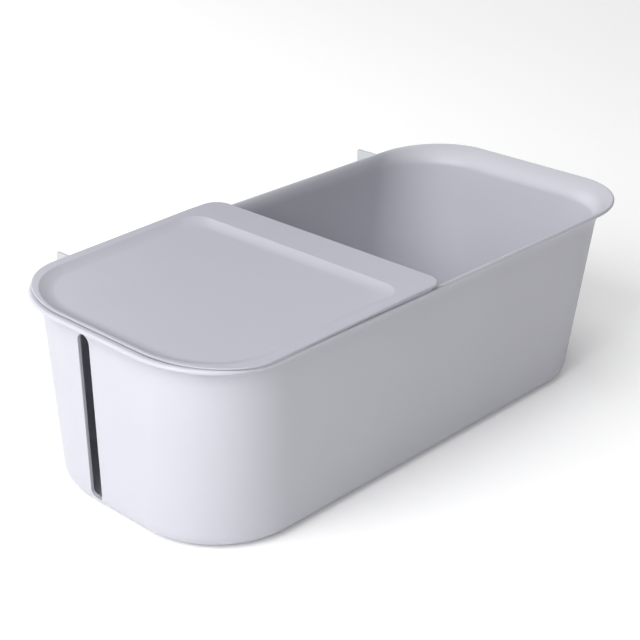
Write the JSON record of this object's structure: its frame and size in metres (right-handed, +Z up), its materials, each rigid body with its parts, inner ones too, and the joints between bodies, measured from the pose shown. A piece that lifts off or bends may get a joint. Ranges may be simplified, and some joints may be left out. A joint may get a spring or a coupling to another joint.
{
  "type": "hanging cable tray",
  "caption": "Long rounded moulded tray for cables and a power strip, with an outward lip, an upright cable slot in one end, a lift-off half lid and hanging hooks on one long side.",
  "frame": {"origin": "centre of the whole object's footprint on the floor, with the feet standing on z = 0", "axes": "+X along the tub away from the end with the cable slot, +Y towards the side with the hooks, +Z up"},
  "size_m": [0.4054, 0.2138, 0.1298],
  "materials": {
    "tray_plastic": "fine satin, pale lavender grey",
    "lid_plastic": "fine satin, pale lavender grey",
    "hook_plastic": "natural, slightly cool white",
    "foot_rubber": "soft matt"
  },
  "bodies": {
    "tub": {"tub": "tray_plastic", "foot_near_front": "foot_rubber", "foot_near_rear": "foot_rubber", "foot_far_front": "foot_rubber", "foot_far_rear": "foot_rubber"},
    "lid": {"lid": "lid_plastic"},
    "hook_left": {"hook_left": "hook_plastic"},
    "hook_right": {"hook_right": "hook_plastic"}
  },
  "joints": [
    {"name": "lid_lift", "type": "slide", "parent": "tub", "child": "lid", "axis": [0, 0, 1], "range_m": [0, 0.06]},
    {"name": "hook_left_slide", "type": "slide", "parent": "tub", "child": "hook_left", "axis": [0, 0, -1], "range_m": [0, 0.05]},
    {"name": "hook_right_slide", "type": "slide", "parent": "tub", "child": "hook_right", "axis": [0, 0, -1], "range_m": [0, 0.05]}
  ]
}
